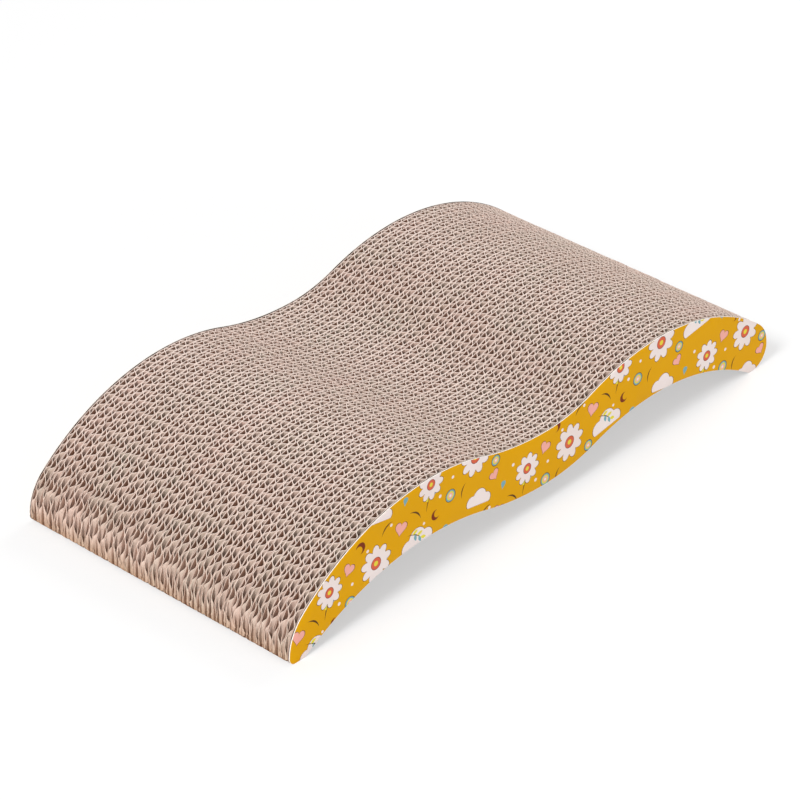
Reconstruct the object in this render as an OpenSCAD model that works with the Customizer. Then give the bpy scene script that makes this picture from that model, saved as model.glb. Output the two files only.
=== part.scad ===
// Wave-shaped scratching pad for cats, cut from corrugated board.
// Strips of double-wall board stand on edge side by side, glued face to face, with their
// flutes upright, so the scratching surface is the cut ends of the flutes. A printed
// board closes each long side. Seen from the side the pad has two crests with a dip
// between them, two arches below, and it stands on a narrow foot at each end.
// X runs along the length from the front end to the rear, Y across the width and Z up.
// The origin is on the floor, in the middle of the length and of the width.

/* [Outline] */
// Length over both tips
length = 440; // [360:1:560]
// Height of the two crests
crest_h = 70; // [60:0.5:90]
// Distance of the front crest from the middle of the length
front_crest_x = 104; // [90:0.5:120]
// Distance of the rear crest from the middle of the length
rear_crest_x = 104; // [90:0.5:120]
// Height of the dip between the crests
dip_h = 52.5; // [45:0.5:60]
// Distance of the dip behind the middle of the length
dip_x = 6; // [0:0.5:20]
// Height of the two arches under the crests
arch_h = 30; // [20:0.5:36]
// Height of the underside below the dip
belly_h = 14.5; // [8:0.5:20]

/* [Ends] */
// Radius of the front end above its widest point
front_nose_r = 34; // [15:0.5:45]
// Radius of the front end below its widest point
front_heel_r = 5; // [2:0.5:12]
// Distance from the front tip to the inner edge of the front foot
front_foot_w = 13; // [10:0.5:30]
// Radius of the rear end above its widest point
rear_nose_r = 24; // [15:0.5:40]
// Radius of the rear end below its widest point
rear_heel_r = 14; // [4:0.5:16]
// Distance from the rear tip to the inner edge of the rear foot
rear_foot_w = 17; // [15:0.5:30]

/* [Corrugated board] */
// Number of strips across the width
strip_count = 32; // [4:1:50]
// Thickness of each flat liner
liner_t = 0.3; // [0.2:0.05:0.6]
// Thickness of the paper of the flutes
flute_t = 0.25; // [0.15:0.05:0.5]
// Height of the big flutes, liner to liner
big_flute_h = 3.45; // [2.5:0.05:5]
// Number of big flutes in a strip
big_flute_count = 36; // [12:1:60]
// Height of the small flutes, liner to liner
small_flute_h = 2.3; // [1.5:0.05:3.5]
// Number of small flutes in a strip
small_flute_count = 47; // [12:1:80]
// Thickness of the glue line between a flute tip and its liner
glue_t = 0.05; // [0.02:0.01:0.1]

/* [Side boards] */
// Thickness of the printed board on each long side
board_t = 1.1; // [0.5:0.1:3]

/* [Hidden] */
$fn = 360;
// Overrun of a cut past the face that it cuts
over = 2;
// Shift of the flutes from one strip to the next, as a share of one flute
phase_share = 0.382;
// Reach of the line from a crest's centre past a nose's centre, as a share of their distance
reach_share = 1.5;
// Lap of two arcs that run on into each other, so that they truly cross
lap = 0.005;
strip_t = 3*liner_t + big_flute_h + small_flute_h;
width = strip_count*strip_t + 2*board_t;
front_tip = length/2 + dip_x;
rear_tip = length/2 - dip_x;
kraft = [0.78, 0.68, 0.62];
print_yellow = [0.87, 0.64, 0.03];
STRIPS = [for (i = [1:strip_count]) str("strip_", i < 10 ? "0" : "", i)];

// Radius of the crest arc that runs on smoothly into the nose arc at the tip
function crest_radius(run, tip, nose_r, heel_r) =
    let (across = tip - nose_r - run, up = crest_h - heel_r, r = nose_r - lap)
    (across*across + up*up - r*r)/(2*(up - r));

// Radius of an arch that meets the floor at a distance from its middle
function arch_radius(across) = (across*across + arch_h*arch_h)/(2*arch_h);

// Radius of the arc at a dip that runs on smoothly into the arc of the peak beside it
function dip_radius(run, peak, peak_r, dip) =
    let (drop = peak - dip)
    (run*run + drop*drop - lap*lap)/(2*(drop - lap)) - peak_r;

// Point where the arc of a dip at x = 0 meets the arc of the peak beside it
function joint(run, peak, peak_r, dip, dip_r) =
    let (top = [run, peak - peak_r], low = [0, dip + dip_r])
    top + (low - top)*peak_r/(peak_r + dip_r);

// Thickness of the flute paper measured across the board, on a wall that slopes
function slant(pitch, height) = flute_t*sqrt(1 + pow(2*height/pitch, 2));

// Space under one arch, from the line of the dip at x = 0
module arch_space(run, across) {
    arch_r = arch_radius(across);
    belly_r = dip_radius(run, arch_h, arch_r, belly_h);
    join = joint(run, arch_h, arch_r, belly_h, belly_r);
    difference() {
        union() {
            translate([run, arch_h - arch_r]) circle(r = arch_r);
            polygon([[-over, -over], [run, -over], join, [-over, arch_h]]);
        }
        translate([0, belly_h + belly_r]) circle(r = belly_r);
    }
}

// Half of the outline, from the line of the dip at x = 0 out to one tip
module half_outline(run, tip, nose_r, heel_r, foot_w) {
    crest_r = crest_radius(run, tip, nose_r, heel_r);
    dip_r = dip_radius(run, crest_h, crest_r, dip_h);
    crest_c = [run, crest_h - crest_r];
    nose_c = [tip - nose_r, heel_r];
    heel_c = [tip - heel_r, heel_r];
    past_nose = crest_c + reach_share*(nose_c - crest_c);
    above = past_nose.y + crest_h;
    join = joint(run, crest_h, crest_r, dip_h, dip_r);
    difference() {
        union() {
            intersection() {
                translate(crest_c) circle(r = crest_r);
                polygon([[0, 0], [nose_c.x, 0], nose_c, past_nose, [past_nose.x, above], [0, above]]);
            }
            intersection() {
                translate(nose_c) circle(r = nose_r);
                translate(nose_c) square(nose_r + over);
            }
            translate(heel_c) circle(r = heel_r);
            polygon([[0, 0], [heel_c.x, 0], heel_c, nose_c, join, [0, crest_h]]);
        }
        translate([0, dip_h + dip_r]) circle(r = dip_r);
        arch_space(run, tip - foot_w - run);
    }
}

// Outline of the pad seen from the side, standing on the line z = 0
module outline() {
    translate([dip_x, 0]) {
        half_outline(rear_crest_x - dip_x, rear_tip, rear_nose_r, rear_heel_r, rear_foot_w);
        mirror([1, 0])
            half_outline(front_crest_x + dip_x, front_tip, front_nose_r, front_heel_r, front_foot_w);
    }
}

// Upright sheet cut to the outline, from y = 0 to y = t
module sheet(t) {
    rotate([90, 0, 0]) mirror([0, 0, 1]) linear_extrude(t) outline();
}

// Plan of a fluted paper, a zigzag between two liners a height apart
module zigzag(height, count, phase) {
    pitch = length/count;
    low = glue_t;
    high = height - glue_t;
    skin = slant(pitch, high - low);
    n = count + 2;
    translate([phase*pitch, 0])
        polygon(concat(
            [for (i = [-n:n]) [i*pitch/2, i % 2 == 0 ? low + skin : high]],
            [for (i = [n:-1:-n]) [i*pitch/2, i % 2 == 0 ? low : high - skin]]));
}

// Fluted paper with upright flutes, cut to the outline
module flutes(height, count, phase) {
    intersection() {
        sheet(height);
        translate([0, 0, -over]) linear_extrude(crest_h + 2*over) zigzag(height, count, phase);
    }
}

// Strip of double-wall board, liner, big flutes, liner, small flutes, liner
module strip(i) {
    phase = i*phase_share - floor(i*phase_share);
    big_y = liner_t;
    small_y = big_y + big_flute_h + liner_t;
    color(kraft) translate([0, i*strip_t + board_t - width/2, 0]) {
        sheet(liner_t);
        translate([0, big_y, 0]) flutes(big_flute_h, big_flute_count, phase);
        translate([0, big_y + big_flute_h, 0]) sheet(liner_t);
        translate([0, small_y, 0]) flutes(small_flute_h, small_flute_count, phase);
        translate([0, small_y + small_flute_h, 0]) sheet(liner_t);
    }
}

// Printed board on the right, facing -Y
module side_board_right() {
    color(print_yellow) translate([0, -width/2, 0]) sheet(board_t);
}

// Printed board on the left, facing +Y
module side_board_left() {
    color(print_yellow) translate([0, width/2 - board_t, 0]) sheet(board_t);
}

for (i = [0:strip_count - 1])
    strip(i);
side_board_right();
side_board_left();
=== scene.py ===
"""Looks of a wave-shaped cardboard cat scratcher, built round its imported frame.

The pad is a block of upright corrugated strips between two printed side boards. Every
strip gets its five papers with rounded flutes at their real pitch, slightly crushed and
frayed at the cut, and every side board gets a printed face, the white sheet under it
and a lining of grey board.
"""

from __future__ import annotations

import logging
import math
from dataclasses import dataclass, field
from enum import Enum

import bpy
import numpy as np
from mathutils import Matrix, Vector
from mathutils.geometry import delaunay_2d_cdt

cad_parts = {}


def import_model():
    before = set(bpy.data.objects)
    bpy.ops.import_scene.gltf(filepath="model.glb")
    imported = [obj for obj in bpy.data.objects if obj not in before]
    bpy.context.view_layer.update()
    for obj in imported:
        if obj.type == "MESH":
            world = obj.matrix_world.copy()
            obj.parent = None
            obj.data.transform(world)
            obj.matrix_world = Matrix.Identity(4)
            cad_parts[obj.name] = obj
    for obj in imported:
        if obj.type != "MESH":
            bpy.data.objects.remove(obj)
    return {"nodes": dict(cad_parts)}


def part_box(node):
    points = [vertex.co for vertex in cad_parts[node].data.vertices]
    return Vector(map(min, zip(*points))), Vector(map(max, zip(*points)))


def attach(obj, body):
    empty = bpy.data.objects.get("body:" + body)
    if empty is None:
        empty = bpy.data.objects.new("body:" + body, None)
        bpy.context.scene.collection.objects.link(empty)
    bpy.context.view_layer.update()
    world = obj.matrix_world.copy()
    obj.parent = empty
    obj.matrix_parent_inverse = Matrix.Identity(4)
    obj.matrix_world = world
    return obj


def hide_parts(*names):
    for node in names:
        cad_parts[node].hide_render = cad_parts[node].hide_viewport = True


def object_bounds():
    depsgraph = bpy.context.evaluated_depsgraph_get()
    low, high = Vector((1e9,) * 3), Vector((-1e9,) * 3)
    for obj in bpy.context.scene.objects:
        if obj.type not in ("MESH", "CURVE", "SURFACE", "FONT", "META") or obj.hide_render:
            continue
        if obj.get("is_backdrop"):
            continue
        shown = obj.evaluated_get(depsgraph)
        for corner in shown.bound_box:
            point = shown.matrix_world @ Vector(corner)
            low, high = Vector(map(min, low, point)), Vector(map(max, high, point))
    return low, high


LOG = logging.getLogger("scratcher")
MM = 0.001
BODY = "root"
SAME_SPOT = 1e-7
INSIDE_RINGS = 1
PRINT_SHIFTS = {"side_board_right": (-31 * MM, -14 * MM), "side_board_left": (-58 * MM, -40 * MM)}
Array = np.ndarray
Colour = tuple[float, float, float]
Spot = tuple[float, float, float]
Ramp = tuple[float, float, float, float]
PURE_WHITE: Colour = (1.0, 1.0, 1.0)


def linear(red: int, green: int, blue: int) -> Colour:
    """Turn a display colour into the linear colour that a shader takes.

    Up to 0.04045 a channel's share is divided by 12.92. Above that, the share plus 0.055,
    over 1.055, is raised to the power 2.4.

    Args:
        red: Red from 0 to 255.
        green: Green from 0 to 255.
        blue: Blue from 0 to 255.

    Returns:
        The linear colour, each channel from 0 to 1.
    """
    shares = np.array([red, green, blue]) / 255.0
    low = shares / 12.92
    high = ((shares + 0.055) / 1.055) ** 2.4
    r, g, b = np.where(shares <= 0.04045, low, high)
    return (float(r), float(g), float(b))


def wander(x: Array, wavelength: float, rng: np.random.Generator) -> Array:
    """Smooth noise along a line: random knots joined by cosine steps.

    Args:
        x: Places along the line, in metres.
        wavelength: Distance between knots, in metres.
        rng: Source of the knots' values, each from -1 to 1.

    Returns:
        One value from -1 to 1 for each place.
    """
    count = int((x.max() - x.min()) / wavelength) + 3
    knots = rng.uniform(-1.0, 1.0, count)
    place = (x - x.min()) / wavelength
    index = place.astype(int)
    share = 0.5 - 0.5 * np.cos(np.pi * (place - index))
    return knots[index] * (1 - share) + knots[index + 1] * share


def circuit(count: int) -> Array:
    """Angles once round a circle in even steps, without the repeated end."""
    return np.linspace(0, 2 * np.pi, count, endpoint=False)


def pair(first: Array, second: Array) -> Array:
    """Flat points from the rows of their two coordinates."""
    return np.stack([first, second], axis=1)


def direction(azimuth: float, elevation: float) -> Vector:
    """Unit vector at an azimuth, counted from -y towards +x, and an elevation."""
    flat = math.cos(elevation)
    return Vector((math.sin(azimuth) * flat, -math.cos(azimuth) * flat, math.sin(elevation)))


def link(name: str, data: bpy.types.ID) -> bpy.types.Object:
    """Put a new object into the scene.

    Args:
        name: The object's name.
        data: Its mesh, lamp or camera.

    Returns:
        The new object.
    """
    made = bpy.data.objects.new(name, data)
    bpy.context.scene.collection.objects.link(made)
    return made


def triangulate(rings: list[Array]) -> tuple[Array, Array, list[list[int]], list[list[int]]]:
    """Fill closed rings of flat points with triangles that keep to every ring's edge.

    Args:
        rings: Each ring's points, anticlockwise.

    Returns:
        The points, the triangles, the given points that each point stands for, and the
        rings that each triangle lies in.
    """
    starts = np.cumsum([0] + [len(ring) for ring in rings])
    numbered = [list(range(a, b)) for a, b in zip(starts[:-1], starts[1:])]
    spots = [Vector(spot) for spot in np.concatenate(rings).tolist()]
    cut = delaunay_2d_cdt(spots, [], numbered, INSIDE_RINGS, SAME_SPOT, True)
    flat, _, triangles, sources, _, owners = cut
    return np.array([tuple(spot) for spot in flat]), np.array(triangles), sources, owners


@dataclass(frozen=True)
class HalfOutline:
    """One half of the side view, from the line of the dip out to one tip.

    A distance u is counted from the line of the dip towards the tip. Every arc runs on
    smoothly into the next: dip, crest and nose above, belly, arch, foot and heel below.
    """

    run: float
    tip: float
    crest_h: float
    dip_h: float
    arch_h: float
    belly_h: float
    nose_r: float
    heel_r: float
    foot_w: float

    def crest_radius(self) -> float:
        """Radius of the crest arc that is tangent to the nose arc.

        Returns:
            The radius, from the heights and the distance of the two arcs' centres.
        """
        across = self.tip - self.nose_r - self.run
        rise = self.crest_h - self.heel_r
        return (across**2 + rise**2 - self.nose_r**2) / (2 * (rise - self.nose_r))

    def arch_radius(self) -> float:
        """Radius of the arch that meets the floor at the foot's inner edge."""
        across = self.tip - self.foot_w - self.run
        return (across**2 + self.arch_h**2) / (2 * self.arch_h)

    def dip_radius(self, peak: float, peak_r: float, dip: float) -> float:
        """Radius of the arc at a dip that is tangent to the arc of the peak beside it.

        Args:
            peak: Height of the peak.
            peak_r: Radius of the peak's arc.
            dip: Height of the dip.

        Returns:
            The radius of the dip's arc.
        """
        drop = peak - dip
        return (self.run**2 + drop**2) / (2 * drop) - peak_r

    def wave(self, u: Array, peak: float, peak_r: float, dip: float) -> Array:
        """Height of a dip arc followed by a peak arc.

        The dip's circle stands on the dip, the peak's circle hangs from the peak, and
        they change over where the line between their centres crosses both.

        Args:
            u: Distances from the line of the dip.
            peak: Height of the peak.
            peak_r: Radius of the peak's arc.
            dip: Height of the dip.

        Returns:
            The height at each distance.
        """
        dip_r = self.dip_radius(peak, peak_r, dip)
        change = self.run * dip_r / (dip_r + peak_r)
        low = dip + dip_r - np.sqrt(np.maximum(dip_r**2 - u**2, 0))
        high = peak - peak_r + np.sqrt(np.maximum(peak_r**2 - (u - self.run) ** 2, 0))
        return np.where(u < change, low, high)

    def top(self, u: Array) -> Array:
        """Height of the scratching surface: dip and crest arcs, then the nose arc.

        Args:
            u: Distances from the line of the dip.

        Returns:
            The height at each distance.
        """
        crest_r = self.crest_radius()
        centre = self.tip - self.nose_r
        reach = math.hypot(centre - self.run, self.crest_h - crest_r - self.heel_r)
        change = centre + (centre - self.run) * self.nose_r / reach
        nose = self.heel_r + np.sqrt(np.maximum(self.nose_r**2 - (u - centre) ** 2, 0))
        return np.where(u < change, self.wave(u, self.crest_h, crest_r, self.dip_h), nose)

    def bottom(self, u: Array) -> Array:
        """Height of the underside: belly and arch arcs, the flat foot, then the heel arc.

        Args:
            u: Distances from the line of the dip.

        Returns:
            The height at each distance.
        """
        toe = self.tip - self.heel_r
        heel = self.heel_r - np.sqrt(np.maximum(self.heel_r**2 - (u - toe) ** 2, 0))
        arch = self.wave(u, self.arch_h, self.arch_radius(), self.belly_h)
        return np.where(u < self.tip - self.foot_w, arch, np.where(u < toe, 0.0, heel))


@dataclass(frozen=True)
class Outline:
    """Side view of the pad, with the sizes of the part's source, in metres."""

    length: float
    crest_h: float
    front_crest_x: float = 104 * MM
    rear_crest_x: float = 104 * MM
    dip_h: float = 52.5 * MM
    dip_x: float = 6 * MM
    arch_h: float = 30 * MM
    belly_h: float = 14.5 * MM
    front_nose_r: float = 34 * MM
    front_heel_r: float = 5 * MM
    front_foot_w: float = 13 * MM
    rear_nose_r: float = 24 * MM
    rear_heel_r: float = 14 * MM
    rear_foot_w: float = 17 * MM
    tip_gap: float = 0.04 * MM
    tip_reach: float = 4 * MM
    tip_count: int = 9

    def half(self, rear: bool) -> HalfOutline:
        """One half of the outline.

        Args:
            rear: Whether it is the half towards the rear tip.

        Returns:
            The half, with its sizes counted from the line of the dip.
        """
        heights = (self.crest_h, self.dip_h, self.arch_h, self.belly_h)
        if rear:
            ends = (self.rear_nose_r, self.rear_heel_r, self.rear_foot_w)
            spans = (self.rear_crest_x - self.dip_x, self.length / 2 - self.dip_x)
        else:
            ends = (self.front_nose_r, self.front_heel_r, self.front_foot_w)
            spans = (self.front_crest_x + self.dip_x, self.length / 2 + self.dip_x)
        return HalfOutline(*spans, *heights, *ends)

    def top(self, x: Array) -> Array:
        """Height of the scratching surface at places along the length."""
        u = x - self.dip_x
        return np.where(u > 0, self.half(True).top(u), self.half(False).top(-u))

    def bottom(self, x: Array) -> Array:
        """Height of the underside at places along the length."""
        u = x - self.dip_x
        return np.where(u > 0, self.half(True).bottom(u), self.half(False).bottom(-u))

    def half_length(self) -> float:
        """Distance from the middle of the length to the last place at a tip."""
        return self.length / 2 - self.tip_gap

    def crowded(self, places: Array, reach: float, count: int) -> Array:
        """Places along the length, joined by extra ones that crowd towards both tips.

        Near a tip the height changes as the square root of the distance, so the extra
        places there are spread as a square.

        Args:
            places: The places to start from.
            reach: How far from a tip the extra places go.
            count: Number of extra places at each tip.

        Returns:
            Rising places from tip to tip, in metres, without near doubles.
        """
        half = self.half_length()
        near = half - reach * np.linspace(0, 1, count) ** 2
        merged = np.unique(np.concatenate([places, near, -near]))
        apart = np.concatenate([[True], np.diff(merged) > self.tip_gap / 2])
        return merged[apart & (np.abs(merged) <= half)]

    def stations(self, step: float) -> Array:
        """Places along the length, evenly spread but crowded towards both tips.

        Args:
            step: Distance between the even places.

        Returns:
            Rising places from tip to tip, with the inner edges of both feet, in metres.
        """
        half = self.half_length()
        even = np.linspace(-half, half, int(2 * half / step) + 1)
        feet = [self.front_foot_w - self.length / 2, self.length / 2 - self.rear_foot_w]
        return self.crowded(np.concatenate([even, feet]), self.tip_reach, self.tip_count)

    def loop(self, step: float) -> Array:
        """The closed outline as points, anticlockwise seen from the right side.

        Args:
            step: Distance between points along the length.

        Returns:
            An array of points (x, z), without a repeated end.
        """
        x = self.stations(step)
        return np.concatenate([pair(x, self.bottom(x)), pair(x, self.top(x))[::-1]])


def mesh_piece(name: str, points: Array, faces: Array) -> bpy.types.Object:
    """Make a piece of faces with a fixed number of corners, riding on the body.

    Args:
        name: The piece's name.
        points: Vertex places, one row each, in metres.
        faces: Vertex numbers, one row a face.

    Returns:
        The new object.
    """
    mesh = bpy.data.meshes.new(name)
    corners = faces.shape[1]
    mesh.vertices.add(len(points))
    mesh.vertices.foreach_set("co", points.astype(np.float32).ravel())
    mesh.loops.add(faces.size)
    mesh.loops.foreach_set("vertex_index", faces.astype(np.int32).ravel())
    mesh.polygons.add(len(faces))
    mesh.polygons.foreach_set("loop_start", np.arange(0, faces.size, corners, dtype=np.int32))
    mesh.update(calc_edges=True)
    mesh.validate()
    piece = link(name, mesh)
    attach(piece, BODY)
    return piece


@dataclass(frozen=True)
class Flute:
    """Shape of one kind of flute.

    Squareness steepens its flanks, and the bias broadens its crests. Its turns are the
    places in one wave, in degrees, where it has points.
    """

    height: float
    pitch: float
    squareness: float
    bias: float
    turns: tuple[float, ...]


@dataclass(frozen=True)
class Paper:
    """One paper of a strip, a liner or a fluted one, between two shares of the strip."""

    low: float
    high: float
    thickness: float
    flute: Flute | None = None


@dataclass(frozen=True)
class Level:
    """One row of a paper's corners below its cut edge.

    It lies at its depth, but no lower than its limit, a share of the paper's height. The
    other shares are of the lip's bend and fray, of the pale cut and of the painted shade
    of the depths.
    """

    depth: float
    limit: float
    lip: float
    cut: float
    painted_shade: float


@dataclass
class StripBlock:
    """The upright corrugated strips, glued face to face between the side boards."""

    outline: Outline
    nodes: list[str]
    low_y: float
    high_y: float
    layer: float = 0.3 * MM
    liner: float = 0.40 * MM
    flute: float = 0.36 * MM
    big: Flute = Flute(3.45 * MM, 8.4 * MM, 2.9, 0.28, (-90, -50, -20, 16, 44, 90, 136, 164, 200, 230))
    small: Flute = Flute(2.3 * MM, 6.3 * MM, 1.7, 0.1, (-90, -45, -20, 20, 45, 90, 135, 160, 200, 225))
    seam_wander: float = 0.28 * MM
    seam_wavelength: float = 34 * MM
    drift: float = 0.5 * MM
    drift_wavelength: float = 48 * MM
    slip: float = 0.13
    free_start: float = 0.12
    height_drop: float = 0.45 * MM
    drop_wavelength: float = 60 * MM
    fray: float = 0.16 * MM
    lip_bend: float = 0.17 * MM
    lip_wavelength: float = 4.2 * MM
    worn_bend: float = 0.8 * MM
    worn_reach: float = 46 * MM
    worn_power: float = 1.5
    worn_pale: float = 0.52
    worn_dull: float = 0.45
    worn_open: float = 0.4
    steep_dull: float = 0.6
    steep_open: float = 1.2
    least_clean: float = 0.3
    least_dark: float = 0.1
    underside_cut: float = 0.2
    # Painted shade at the underside row.
    underside_painted_shade: float = 0.1
    crush: float = 0.8
    crush_reach: float = 6 * MM
    least_height: float = 0.2 * MM
    liner_step: float = 2.1 * MM
    tip_reach: float = 2 * MM
    tip_count: int = 6
    sharp_angle: float = 45.0
    seed: int = 11
    # Each level's last share is painted shade: none near the cut, most a few millimetres below it.
    levels: tuple[Level, ...] = (
        Level(0.0, 0.05, 1.0, 1.0, 0.0),
        Level(0.5 * MM, 0.17, 0.8, 0.12, 0.0),
        Level(2.6 * MM, 0.37, 0.0, 0.0, 0.45),
        Level(6.5 * MM, 0.62, 0.0, 0.0, 1.0),
    )
    rng: np.random.Generator = field(init=False)

    def __post_init__(self) -> None:
        """Seed the block's own random source."""
        self.rng = np.random.default_rng(self.seed)

    def papers(self) -> list[Paper]:
        """The five papers of a strip, placed as shares of the strip's thickness.

        Returns:
            Liner, big flutes, liner, small flutes and liner.
        """
        total = 3 * self.layer + self.big.height + self.small.height
        big = (self.layer / total, (self.layer + self.big.height) / total)
        small = ((2 * self.layer + self.big.height) / total, 1 - self.layer / total)
        middle = (big[1] + small[0]) / 2
        return [
            Paper(0.0, 0.0, self.liner),
            Paper(*big, self.flute, self.big),
            Paper(middle, middle, self.liner),
            Paper(*small, self.flute, self.small),
            Paper(1.0, 1.0, self.liner),
        ]

    def seams(self, x: Array) -> list[Array]:
        """The lines where strips meet, in y, one more than there are strips.

        Each line is straight apart from a slow wander, and the two outer lines lie flat
        against the side boards.

        Args:
            x: Places along the length.

        Returns:
            One array of y for each line, at the places given.
        """
        count = len(self.nodes)
        even = np.linspace(self.low_y, self.high_y, count + 1)
        lines = [even[0] + 0 * x]
        for y in even[1:-1]:
            lines.append(y + self.seam_wander * wander(x, self.seam_wavelength, self.rng))
        lines.append(even[-1] + 0 * x)
        return lines

    def build(self) -> list[bpy.types.Object]:
        """Make one piece for each strip.

        From strip to strip the flutes slip by a random share of a wave, and a few strips
        start anywhere.

        Returns:
            The pieces, in the order of their nodes.
        """
        coarse = self.outline.stations(self.liner_step)
        lines = self.seams(coarse)
        count = len(self.nodes)
        starts = np.cumsum(self.slip * self.rng.standard_normal((count, 2)), axis=0)
        anywhere = self.rng.uniform(0, 1, (count, 2))
        starts += anywhere * (self.rng.uniform(0, 1, (count, 1)) < self.free_start)
        pieces = []
        for number, node in enumerate(self.nodes):
            piece = self.build_strip(node, coarse, lines[number], lines[number + 1], starts[number])
            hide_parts(node)
            pieces.append(piece)
        return pieces

    def build_strip(
        self, node: str, coarse: Array, low: Array, high: Array, starts: Array
    ) -> bpy.types.Object:
        """Make the five papers of one strip as one mesh.

        The cut lies below the outline by the mean of two drops: one for the whole strip,
        and one that wanders along it.

        Args:
            node: The strip's node.
            coarse: Places along the length where the seams are known.
            low: The seam towards the right side, in y.
            high: The seam towards the left side, in y.
            starts: Where the big and the small flute begin, as shares of a wave.

        Returns:
            The strip's piece.
        """
        drop = self.height_drop * self.rng.uniform(0, 1)
        slope = self.height_drop * 0.5 * (1 + wander(coarse, self.drop_wavelength, self.rng))
        tone = self.rng.uniform(0, 1)
        points, faces, cuts, painted_shades, liners = [], [], [], [], []
        start = 0
        for paper, begin in zip(self.papers(), (0.0, starts[0], 0.0, starts[1], 0.0)):
            x, y = self.plan(paper, begin, coarse, low, high)
            sag = 0.5 * (drop + np.interp(x, coarse, slope))
            corners, quads, cut, painted_shade = self.ribbon(x, y, paper.thickness, sag)
            points.append(corners)
            faces.append(quads + start)
            cuts.append(cut)
            painted_shades.append(painted_shade)
            liners.append(np.full(len(corners), 1.0 if paper.flute is None else 0.0))
            start += len(corners)
        piece = mesh_piece("board_" + node, np.concatenate(points), np.concatenate(faces))
        mesh = piece.data
        # Besides the cut, the liners and the tone, the mesh carries the painted shade of the depths.
        masks = {
            "cut": np.concatenate(cuts),
            "liner": np.concatenate(liners),
            "painted_shade": np.concatenate(painted_shades),
            "tone": np.full(start, tone),
        }
        for name, values in masks.items():
            attribute = mesh.attributes.new(name, "FLOAT", "POINT")
            attribute.data.foreach_set("value", values.astype(np.float32))
        mesh.polygons.foreach_set("use_smooth", np.ones(len(mesh.polygons), bool))
        mesh.set_sharp_from_angle(angle=math.radians(self.sharp_angle))
        return piece

    def plan(
        self, paper: Paper, begin: float, coarse: Array, low: Array, high: Array
    ) -> tuple[Array, Array]:
        """Centre line of one paper seen from above.

        A liner follows its seam, set in by half its thickness. A flute is the hyperbolic
        tangent of a raised sine, which has steep flanks, broad crests and narrower
        troughs, and its waves drift a little along the board. Towards both tips the
        die has pressed the waves together: a distance from the tip shrinks by a share
        that falls off exponentially.

        Args:
            paper: The paper.
            begin: Where the flute begins, as a share of a wave.
            coarse: Places along the length where the seams are known.
            low: The seam towards the right side, in y.
            high: The seam towards the left side, in y.

        Returns:
            The places x and y of the line's points.
        """
        flute = paper.flute
        if flute is None:
            inset = {0.0: 0.5, 1.0: -0.5}.get(paper.low, 0.0) * paper.thickness
            return coarse, low + (high - low) * paper.low + inset
        half = self.outline.half_length()
        begin = begin % 1.0
        last = int(half / flute.pitch) + 3
        waves = np.arange(-last, last + 1)
        turns = (waves[:, None] + begin + np.array(flute.turns) / 360).ravel()
        even = turns * flute.pitch
        even = even + self.drift * wander(even, self.drift_wavelength, self.rng)
        inward = half - np.abs(even)
        pressed = inward * (1 - self.crush * np.exp(-np.maximum(inward, 0) / self.crush_reach))
        even = np.sign(even) * (half - pressed)
        x = self.outline.crowded(even, self.tip_reach, self.tip_count)
        phase = 2 * np.pi * (np.interp(x, even, turns) - begin)
        floor = np.interp(x, coarse, low + (high - low) * paper.low)
        roof = np.interp(x, coarse, low + (high - low) * paper.high)
        raised = np.sin(phase) * (1 - flute.bias) + flute.bias
        wave = np.tanh(flute.squareness * raised)
        wave = 2 * (wave - wave.min()) / (wave.max() - wave.min()) - 1
        swing = (roof - floor - paper.thickness) / 2
        return x, (floor + roof) / 2 + swing * wave

    def ribbon(self, x: Array, y: Array, thickness: float, sag: Array) -> tuple[Array, ...]:
        """Upright paper along a line, from the underside to the scratching surface.

        The upper rows of corners bend aside by smooth noise, most at the worn ends, and
        drop by random noise, as a cut paper edge does. The cut is paler where it runs
        square across the paper: its share falls with the sine of the slope. The depths
        get painted shade, none near the cut and most some millimetres below it, but less
        on slopes and at the worn ends, which lie open to the light.

        Args:
            x: Places of the line's points along the length.
            y: Places of the line's points across the width.
            thickness: The paper's thickness.
            sag: How far the cut lies below the outline at each point.

        Returns:
            The vertices, the four-cornered faces, and each vertex's shares of cut edge and of
            painted shade.
        """
        top = self.outline.top(x) - sag
        bottom = self.outline.bottom(x)
        tall = np.maximum(top - bottom, self.least_height)
        top = bottom + tall
        along = np.concatenate([[0.0], np.cumsum(np.hypot(np.diff(x), np.diff(top)))])
        inward = np.minimum(along, along[-1] - along)
        worn = np.clip(1 - inward / self.worn_reach, 0, 1) ** self.worn_power
        slope = np.gradient(top, x)
        steep = np.abs(slope) / np.hypot(1, slope)
        clean = np.clip(1 - self.steep_dull * steep, self.least_clean, 1) * (1 - self.worn_dull * worn)
        # The painted shade of the depths shows less on slopes and at the worn ends.
        dark = np.clip(1 - self.steep_open * steep - self.worn_open * worn, self.least_dark, 1)
        fray = self.fray * self.rng.uniform(0, 1, len(x))
        reach = self.lip_bend + (self.worn_bend - self.lip_bend) * worn
        bend = reach * wander(along, self.lip_wavelength, self.rng)
        heights, shifts, cuts, painted_shades = [], [], [], []
        for level in self.levels:
            heights.append(top - np.minimum(level.depth + fray * level.lip, tall * level.limit))
            shifts.append(bend * level.lip)
            cuts.append(np.maximum(level.cut * clean, self.worn_pale * worn))
            painted_shades.append(level.painted_shade * dark)
        heights.append(bottom)
        shifts.append(0 * x)
        cuts.append(np.maximum(self.underside_cut, self.worn_pale * worn))
        painted_shades.append(self.underside_painted_shade * dark)
        z, shift, cut, painted_shade = (np.stack(rows, axis=1) for rows in (heights, shifts, cuts, painted_shades))
        shares = [np.concatenate([mask, mask[:, ::-1]], axis=1).ravel() for mask in (cut, painted_shade)]
        return self.rings(x, y, thickness, shift, z), self.quads(*z.shape), *shares

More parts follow.
